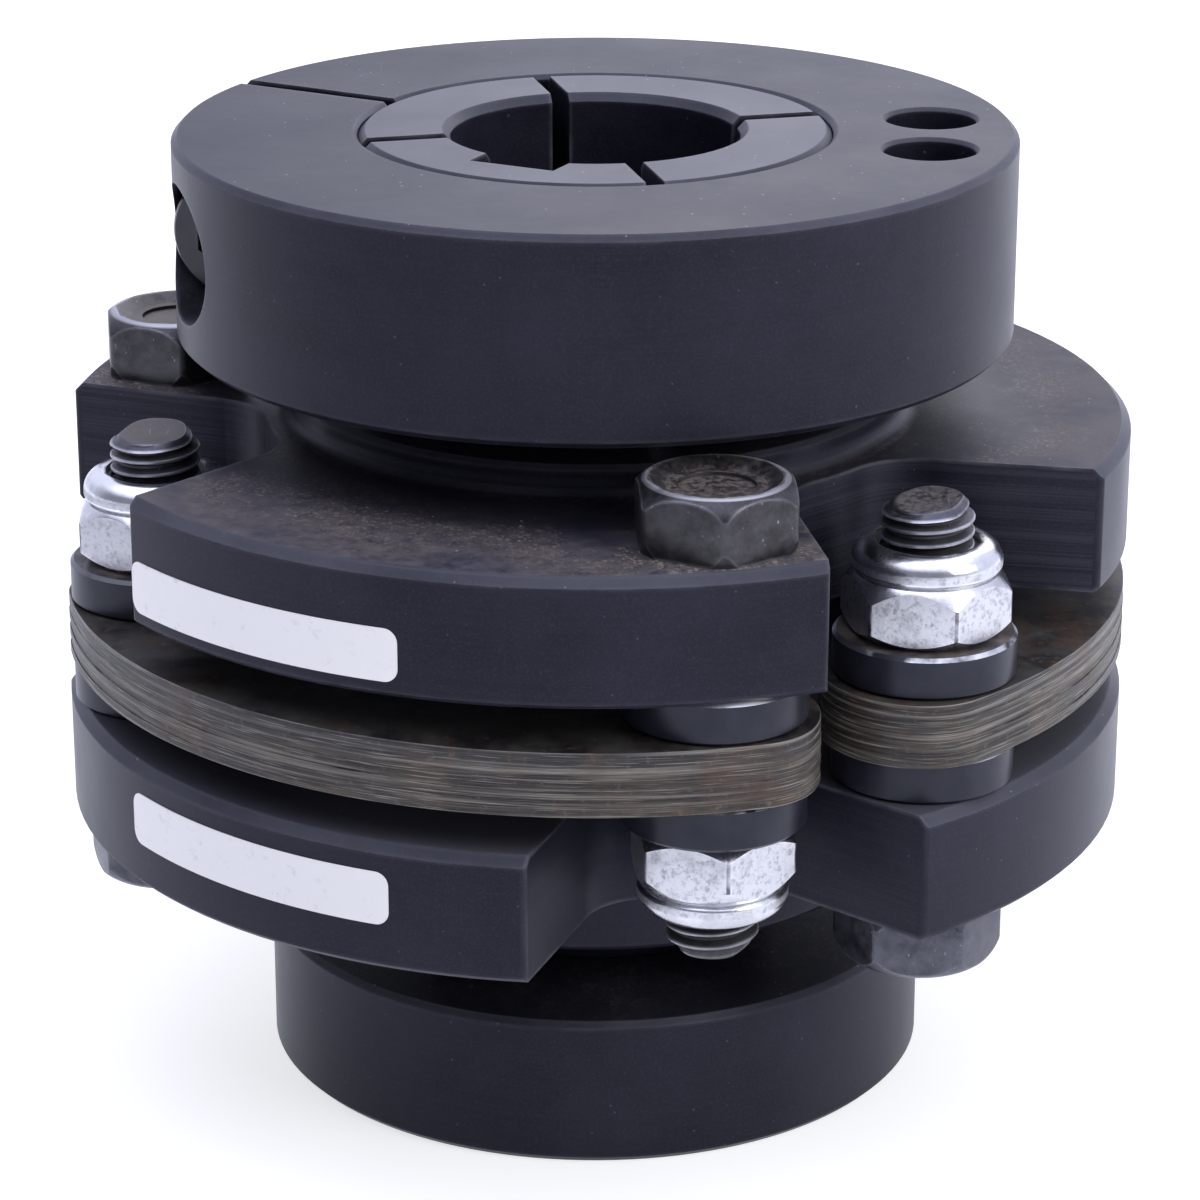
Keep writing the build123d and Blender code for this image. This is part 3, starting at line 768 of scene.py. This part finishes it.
vinyl_finish = white_vinyl()
for label, label_place in label_places.items():
    show(label_plate(**label_place), label, None, vinyl_finish)

# ---------------------------------------------------------------- studio
# A pale floor, a room that is bright behind and above and dimmer in front, two soft lamps, and a
# camera in front and a little above, turned a touch to the right of the coupling's front.
floor_radius = 3.0
floor_lit_colour = (0.80, 0.80, 0.80, 1)
floor_seen_colour = (0.50, 0.50, 0.50, 1)
floor_glow = 0.68
floor_glow_colour = (1, 1, 1, 1)
mirrored_glow_colour = (0.86, 0.89, 1.0, 1)
room_colour = (0.76, 0.79, 1.0, 1)
aim = Vector((0, 0, 0.05245))
lamp_places = {
    "right_lamp": {"spot": (0.80, -0.50, 0.60), "size": 0.5, "power": 5.0},
    "back_lamp": {"spot": (0.25, 0.95, 0.75), "size": 0.8, "power": 2.5},
}
camera_distance = 0.477
camera_elevation = radians(19.95)
camera_turn = radians(0.8)
camera_lens, camera_sensor = 124.8, 36
camera_shift = 0.0039

floor_mesh = bmesh.new()
bmesh.ops.create_circle(floor_mesh, cap_ends=True, segments=96, radius=floor_radius)
floor_data = bpy.data.meshes.new("floor")
floor_mesh.to_mesh(floor_data)
floor_mesh.free()
floor = bpy.data.objects.new("floor", floor_data)
bpy.context.collection.objects.link(floor)
floor_finish, floor_tree, floor_shader = new_finish("pale_floor", 0.9, 0.0, 0.0)
rays = add(floor_tree, "LightPath").outputs
mirrored = compute(floor_tree, "MAXIMUM", rays["Is Glossy Ray"], rays["Is Transmission Ray"])
seen = compute(floor_tree, "MAXIMUM", rays["Is Camera Ray"], mirrored)
floor_colour = blend_colours(floor_tree, seen, floor_lit_colour, floor_seen_colour)
glow_colour = blend_colours(floor_tree, rays["Is Camera Ray"], mirrored_glow_colour,
                            floor_glow_colour)
floor_tree.links.new(floor_colour, floor_shader.inputs["Base Color"])
floor_tree.links.new(glow_colour, floor_shader.inputs["Emission Color"])
floor_tree.links.new(product(floor_tree, seen, floor_glow),
                     floor_shader.inputs["Emission Strength"])
floor_data.materials.append(floor_finish)

world = bpy.data.worlds.new("studio")
bpy.context.scene.world = world
world.use_nodes = True
room = world.node_tree
direction = add(room, "SeparateXYZ", {0: add(room, "TexCoord").outputs["Generated"]}).outputs
towards_back = compute(room, "ADD", direction["Y"], product(room, direction["X"], 0.36))
behind = spread(room, towards_back, -0.5, 0.35, 0.28, 1.1)
overhead = spread(room, direction["Z"], 0.55, 0.93, 0.30, 2.4)
background = room.nodes["Background"]
background.inputs["Color"].default_value = room_colour
room.links.new(compute(room, "MAXIMUM", behind, overhead), background.inputs["Strength"])

for name, lamp_place in lamp_places.items():
    lamp_data = bpy.data.lights.new(name, "AREA")
    lamp_data.size = lamp_place["size"]
    lamp_data.energy = lamp_place["power"]
    spot = Vector(lamp_place["spot"])
    lamp = bpy.data.objects.new(name, lamp_data)
    lamp.location = spot
    lamp.rotation_euler = (aim - spot).to_track_quat("-Z", "Y").to_euler()
    bpy.context.collection.objects.link(lamp)

camera_data = bpy.data.cameras.new("camera")
camera_data.lens = camera_lens
camera_data.sensor_width = camera_sensor
camera_data.shift_x = camera_shift
camera = bpy.data.objects.new("camera", camera_data)
towards_camera = Vector((sin(camera_turn) * cos(camera_elevation),
                         -cos(camera_turn) * cos(camera_elevation), sin(camera_elevation)))
camera.location = aim + towards_camera * camera_distance
camera.rotation_euler = (-towards_camera).to_track_quat("-Z", "Y").to_euler()
bpy.context.collection.objects.link(camera)
bpy.context.scene.camera = camera
bpy.context.scene.view_settings.view_transform = "Standard"
